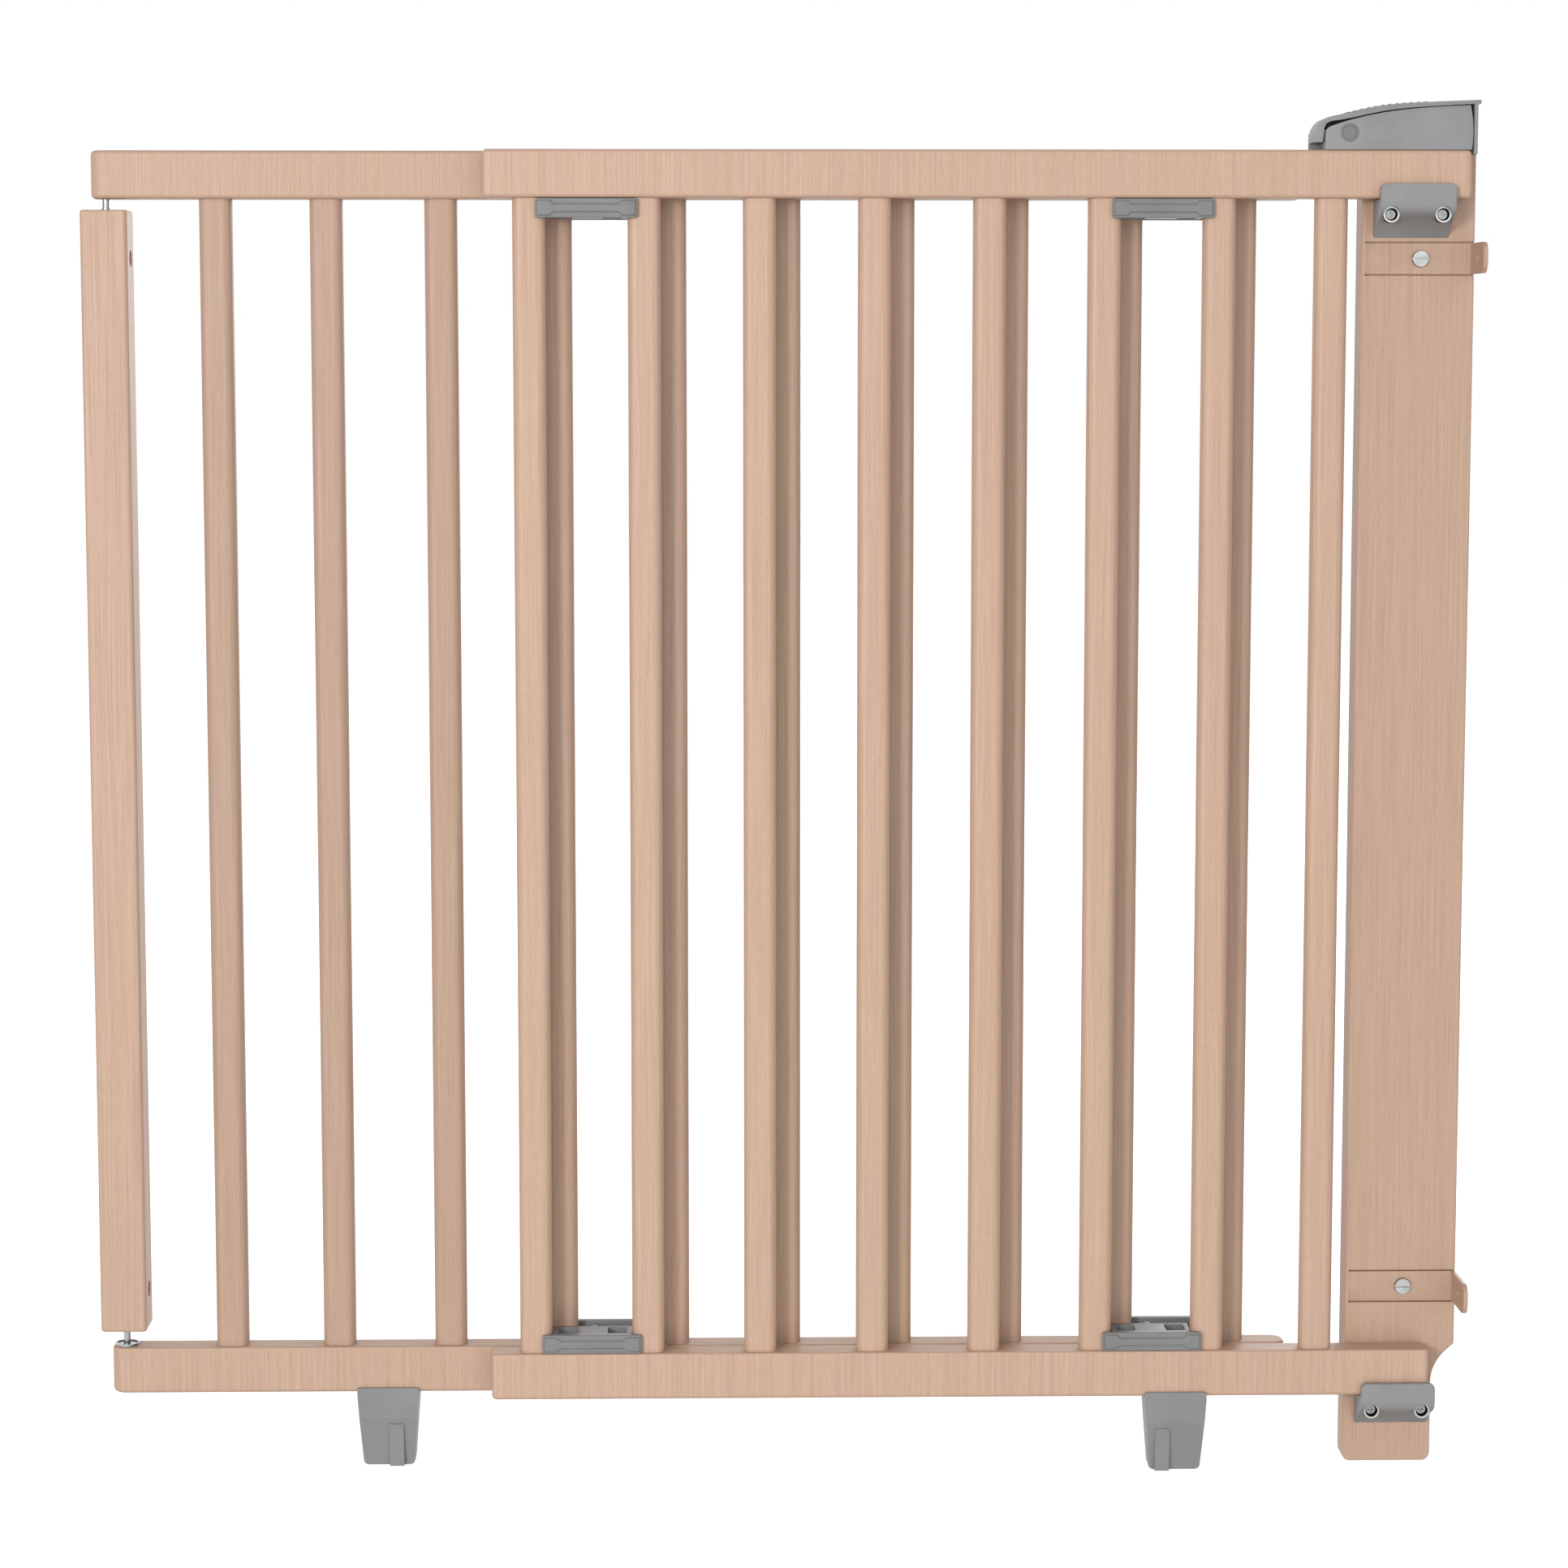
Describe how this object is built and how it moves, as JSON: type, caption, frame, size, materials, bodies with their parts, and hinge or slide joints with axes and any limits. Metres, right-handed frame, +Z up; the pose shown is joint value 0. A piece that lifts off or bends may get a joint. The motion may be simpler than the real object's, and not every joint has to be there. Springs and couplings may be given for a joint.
{
  "type": "safety gate",
  "caption": "Wooden two-panel child safety gate with vertical bars, hinge post, grey clamps and feet, lock lever and closing board for the far wall.",
  "frame": {"origin": "floor level, midway between the two walls in X and midway through the whole depth in Y", "axes": "+X along the gate from the hinge wall to the lock wall, -Y to the room side that the gate opens to, +Z up"},
  "size_m": [0.773, 0.059, 0.7716],
  "materials": {
    "rail_beech": "clear satin lacquer on beech",
    "bar_beech": "clear satin lacquer on beech",
    "post_beech": "clear satin lacquer on beech",
    "board_beech": "clear satin lacquer on beech",
    "bush_plastic": "moulded white plastic",
    "pin_steel": "bright zinc plated steel",
    "foot_plastic": "fine satin moulded grey plastic",
    "clamp_plastic": "fine satin moulded grey plastic",
    "bracket_plastic": "fine satin moulded grey plastic",
    "lock_plastic": "fine satin moulded grey plastic",
    "lever_plastic": "fine satin moulded grey plastic with grip ridges",
    "screw_steel": "bright zinc plated steel",
    "lock_pin_steel": "bright zinc plated steel",
    "spring_steel": "drawn spring wire",
    "sleeve_steel": "bright turned steel",
    "angle_wood_tone": "beech, clear satin lacquer"
  },
  "bodies": {
    "wall_side": {"hinge_post": "post_beech", "upper_bush": "bush_plastic", "lower_bush": "bush_plastic"},
    "hinge_pin": {"upper_hinge_pin": "pin_steel"},
    "rear_panel": {"rear_top_rail": "rail_beech", "rear_bottom_rail": "rail_beech", "rear_bar_01": "bar_beech", "rear_bar_02": "bar_beech", "rear_bar_03": "bar_beech", "rear_bar_04": "bar_beech", "rear_bar_05": "bar_beech", "rear_bar_06": "bar_beech", "rear_bar_07": "bar_beech", "rear_bar_08": "bar_beech", "rear_bar_09": "bar_beech", "rear_bar_10": "bar_beech", "lower_hinge_pin": "pin_steel", "left_foot": "foot_plastic", "left_foot_screws": "screw_steel"},
    "front_panel": {"front_top_rail": "rail_beech", "front_bottom_rail": "rail_beech", "front_bar_1": "bar_beech", "front_bar_2": "bar_beech", "front_bar_3": "bar_beech", "front_bar_4": "bar_beech", "front_bar_5": "bar_beech", "front_bar_6": "bar_beech", "front_bar_7": "bar_beech", "front_bar_8": "bar_beech", "clamp_front_left_upper": "clamp_plastic", "clamp_front_left_lower": "clamp_plastic", "clamp_front_right_upper": "clamp_plastic", "clamp_front_right_lower": "clamp_plastic", "clamp_rear_left_upper": "clamp_plastic", "clamp_rear_left_lower": "clamp_plastic", "clamp_rear_right_upper": "clamp_plastic", "clamp_rear_right_lower": "clamp_plastic", "clamp_screws": "screw_steel", "right_foot": "foot_plastic", "right_foot_screws": "screw_steel", "lock_block": "lock_plastic", "lock_block_screws": "screw_steel", "lock_pin": "lock_pin_steel", "lock_spring": "spring_steel"},
    "lock_lever": {"lock_lever": "lever_plastic"},
    "board_side": {"closing_board": "board_beech", "upper_bracket": "bracket_plastic", "lower_bracket": "bracket_plastic", "bracket_sleeves": "sleeve_steel", "bracket_screws": "screw_steel", "upper_wall_angle": "angle_wood_tone", "lower_wall_angle": "angle_wood_tone", "angle_screws": "screw_steel"}
  },
  "joints": [
    {"name": "gate_swing", "type": "hinge", "parent": "wall_side", "child": "hinge_pin", "pos_m": [-0.3735, 0.0165, 0.7118], "axis": [0, 0, -1], "range_deg": [0, 95]},
    {"name": "gate_lift", "type": "slide", "parent": "hinge_pin", "child": "rear_panel", "axis": [0, 0, 1], "range_m": [0, 0.0084]},
    {"name": "width_adjust", "type": "slide", "parent": "rear_panel", "child": "front_panel", "axis": [1, 0, 0], "range_m": [-0.004, 0.032]},
    {"name": "lever_lift", "type": "hinge", "parent": "front_panel", "child": "lock_lever", "pos_m": [0.3126, -0.0027, 0.7538], "axis": [0, -1, 0], "range_deg": [0, 9.5], "stiffness_Nm_per_rad": 0.3, "springref_deg": -20.05},
    {"name": "board_shift", "type": "slide", "parent": "wall_side", "child": "board_side", "axis": [1, 0, 0], "range_m": [-0.004, 0.032]}
  ],
  "couplings": [
    {"joint": "board_shift", "follows": "width_adjust", "ratio": 1}
  ]
}
